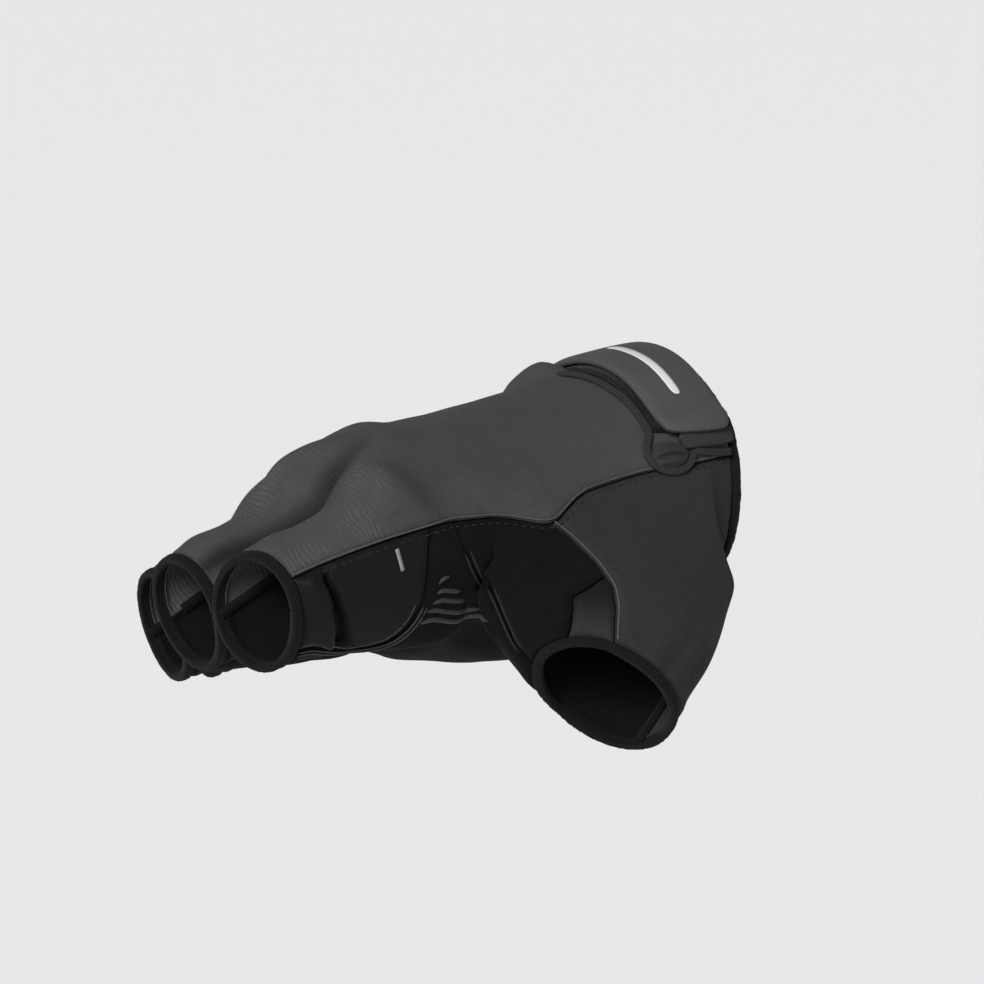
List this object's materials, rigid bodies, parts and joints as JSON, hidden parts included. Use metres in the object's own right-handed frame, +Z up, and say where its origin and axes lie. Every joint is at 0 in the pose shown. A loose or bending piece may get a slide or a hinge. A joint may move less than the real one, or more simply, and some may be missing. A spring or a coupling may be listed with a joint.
{
  "type": "cycling glove",
  "caption": "Right-hand fingerless cycling glove in its worn, bar-gripping form: knit back, grip palm, short stalls, wrist strap.",
  "frame": {"origin": "middle of the wrist opening", "axes": "+X out of the wrist opening towards the arm, +Y towards the little finger, +Z up out of the back of the hand"},
  "size_m": [0.1254, 0.1019, 0.0798],
  "materials": {
    "back_knit": "matte stretch knit",
    "thumb_knit": "matte stretch knit",
    "inner_knit": "matte stretch knit",
    "palm_microfibre": "brushed synthetic suede with printed grip lines",
    "side_leather": "smooth synthetic leather",
    "hem_tape": "overlocked elastic edge",
    "cuff_tape": "folded elastic binding",
    "strap_neoprene": "smooth foam-backed jersey",
    "loop_pile": "brushed loop pile",
    "piping_cord": "corded piping",
    "tag_weave": "woven silver tape"
  },
  "bodies": {
    "root": {"back_panel": "back_knit", "thumb_panel": "thumb_knit", "thumb_inner_patch": "inner_knit", "web_patch": "palm_microfibre", "index_side_panel": "side_leather", "palm_panel": "palm_microfibre", "index_hem": "hem_tape", "middle_hem": "hem_tape", "ring_hem": "hem_tape", "little_hem": "hem_tape", "thumb_hem": "hem_tape", "cuff_binding": "cuff_tape", "strap_pile": "loop_pile", "closure_strap": "strap_neoprene", "strap_tab": "thumb_knit", "strap_gather": "thumb_knit", "slit_piping": "piping_cord", "side_tag": "tag_weave"}
  },
  "joints": []
}
